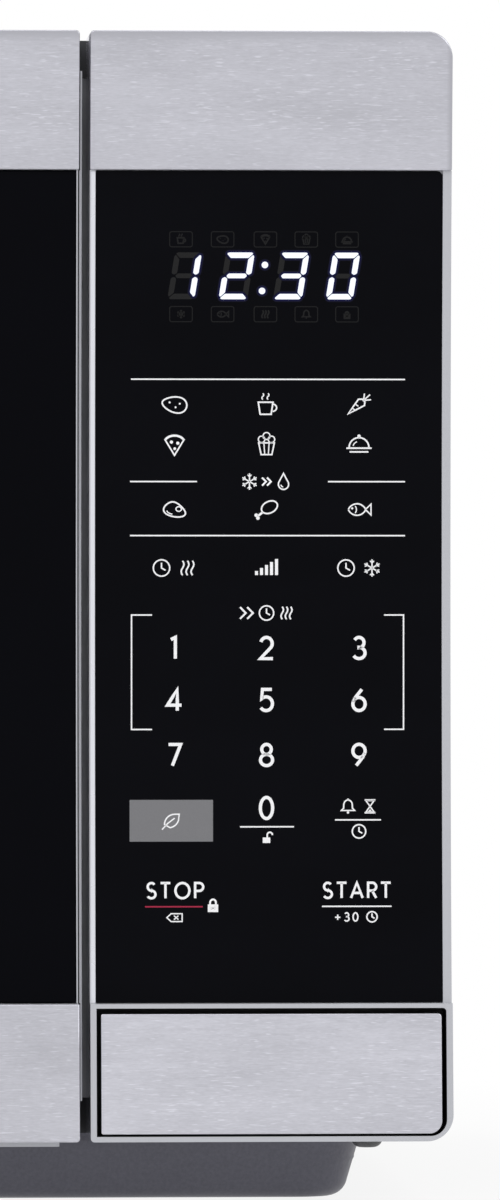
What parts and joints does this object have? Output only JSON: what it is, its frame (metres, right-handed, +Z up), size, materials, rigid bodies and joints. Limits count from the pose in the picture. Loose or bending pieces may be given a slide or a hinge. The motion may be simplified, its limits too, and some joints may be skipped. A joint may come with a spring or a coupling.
{
  "type": "countertop microwave oven",
  "caption": "Countertop microwave oven: hollow black glass front with brushed steel bands, touch keypad, push-button door, glass turntable and working latch.",
  "frame": {"origin": "on the surface that the feet stand on, below the middle of the overall box", "axes": "+X to the right of someone facing the door, +Y from the front to the back, +Z up"},
  "size_m": [0.513, 0.412, 0.312],
  "materials": {
    "case_paint": "semi-gloss black powder coat",
    "base_paint": "satin dark grey metallic paint",
    "galvanised": "dull zinc-coated sheet steel",
    "front_enamel": "silver-grey enamel",
    "cavity_enamel": "light grey enamel",
    "foot_rubber": "matte",
    "black_plastic": "fine moulded texture",
    "screw_steel": "bright plated",
    "silver_plastic": "silver painted, satin",
    "door_tint": "dark tinted, polished",
    "brushed_steel": "brushed along the width",
    "door_pan_paint": "black paint",
    "clear_film": "clear",
    "overlay_gloss": "polished black",
    "board_laminate": "laminate",
    "display_black": "black with white segments",
    "motor_steel": "zinc plated",
    "coupler_plastic": "natural white",
    "tray_glass": "clear pressed glass",
    "mica": "pale brown sheet",
    "copper": "enamelled copper",
    "fin_aluminium": "mill finish",
    "core_steel": "varnished laminations",
    "diode_epoxy": "black epoxy"
  },
  "bodies": {
    "cabinet": {"outer_wrap": "case_paint", "base_plate": "base_paint", "rear_panel": "galvanised", "hinge_bracket_lower": "galvanised", "hinge_bracket_upper": "galvanised", "interlock_bracket": "galvanised", "lever_pin": "galvanised", "waveguide": "galvanised", "magnetron_yoke": "galvanised", "magnetron_filter": "galvanised", "lamp_holder": "galvanised", "hinge_screws": "galvanised", "front_plate": "front_enamel", "cavity_shell": "cavity_enamel", "feet": "foot_rubber", "front_bumpers": "foot_rubber", "cord_inlet_bush": "black_plastic", "fan_housing": "black_plastic", "air_duct": "black_plastic", "micro_switches": "black_plastic", "case_screws": "screw_steel", "button_spring": "screw_steel", "control_panel_frame": "silver_plastic", "panel_top_cover": "brushed_steel", "touch_overlay": "overlay_gloss", "control_board": "board_laminate", "noise_filter_board": "board_laminate", "display_module": "display_black", "turntable_motor": "motor_steel", "fan_motor": "motor_steel", "lamp_bulb": "tray_glass", "waveguide_cover": "mica", "magnetron_anode": "copper", "transformer_windings": "copper", "magnetron_fins": "fin_aluminium", "capacitor": "fin_aluminium", "thermal_cutouts": "fin_aluminium", "transformer_core": "core_steel", "high_voltage_diode": "diode_epoxy"},
    "door": {"door_frame": "silver_plastic", "door_glass": "door_tint", "door_top_strip": "brushed_steel", "door_bottom_strip": "brushed_steel", "door_pan": "door_pan_paint", "window_screen": "door_pan_paint", "window_film": "clear_film", "choke_cover": "black_plastic", "latch_spring": "screw_steel"},
    "latch": {"latch_hooks": "black_plastic"},
    "button": {"button_body": "black_plastic", "button_plate": "brushed_steel"},
    "lever": {"release_lever": "black_plastic"},
    "turntable_hub": {"turntable_coupler": "coupler_plastic", "turntable_shaft": "galvanised"},
    "tray": {"glass_tray": "tray_glass"},
    "ring": {"roller_ring": "coupler_plastic"},
    "wheel_1": {"roller_wheel_1": "coupler_plastic"},
    "wheel_2": {"roller_wheel_2": "coupler_plastic"},
    "wheel_3": {"roller_wheel_3": "coupler_plastic"},
    "fan": {"fan_blade": "black_plastic"}
  },
  "joints": [
    {"name": "door_hinge", "type": "hinge", "parent": "cabinet", "child": "door", "pos_m": [-0.2485, -0.1825, 0.1658], "axis": [0, 0, -1], "range_deg": [0, 100]},
    {"name": "latch_lift", "type": "slide", "parent": "door", "child": "latch", "axis": [0, 0, 1], "range_m": [0, 0.0035], "stiffness_N_per_m": 200, "springref_m": -0.003, "deforming": ["latch_spring"]},
    {"name": "button_press", "type": "slide", "parent": "cabinet", "child": "button", "axis": [0, 1, 0], "range_m": [0, 0.005], "stiffness_N_per_m": 600, "springref_m": -0.002, "deforming": ["button_spring"]},
    {"name": "lever_turn", "type": "hinge", "parent": "cabinet", "child": "lever", "pos_m": [0.168, -0.164, 0.0616], "axis": [1, 0, 0], "range_deg": [0, 12.5]},
    {"name": "turntable_spin", "type": "hinge", "parent": "cabinet", "child": "turntable_hub", "pos_m": [-0.056, 0.0045, 0.0548], "axis": [0, 0, 1], "continuous": true},
    {"name": "tray_lift", "type": "slide", "parent": "turntable_hub", "child": "tray", "axis": [0, 0, 1], "range_m": [0, 0.04]},
    {"name": "ring_spin", "type": "hinge", "parent": "cabinet", "child": "ring", "pos_m": [-0.056, 0.0045, 0.0548], "axis": [0, 0, 1], "continuous": true},
    {"name": "wheel_1_spin", "type": "hinge", "parent": "ring", "child": "wheel_1", "pos_m": [0.0475, 0.0045, 0.0548], "axis": [1, 0, 0], "continuous": true},
    {"name": "wheel_2_spin", "type": "hinge", "parent": "ring", "child": "wheel_2", "pos_m": [-0.10775, 0.09413, 0.0548], "axis": [-0.5, 0.866, 0], "continuous": true},
    {"name": "wheel_3_spin", "type": "hinge", "parent": "ring", "child": "wheel_3", "pos_m": [-0.10775, -0.08513, 0.0548], "axis": [-0.5, -0.866, 0], "continuous": true},
    {"name": "fan_spin", "type": "hinge", "parent": "cabinet", "child": "fan", "pos_m": [0.1866, 0.168, 0.1316], "axis": [0, 1, 0], "continuous": true}
  ],
  "couplings": [
    {"joint": "latch_lift", "follows": "button_press", "ratio": 0.59},
    {"joint": "lever_turn", "follows": "button_press", "rad_per_m": 42.4},
    {"joint": "ring_spin", "follows": "turntable_spin", "ratio": 0.5},
    {"joint": "wheel_1_spin", "follows": "turntable_spin", "ratio": -6.0882},
    {"joint": "wheel_2_spin", "follows": "turntable_spin", "ratio": -6.0882},
    {"joint": "wheel_3_spin", "follows": "turntable_spin", "ratio": -6.0882}
  ]
}
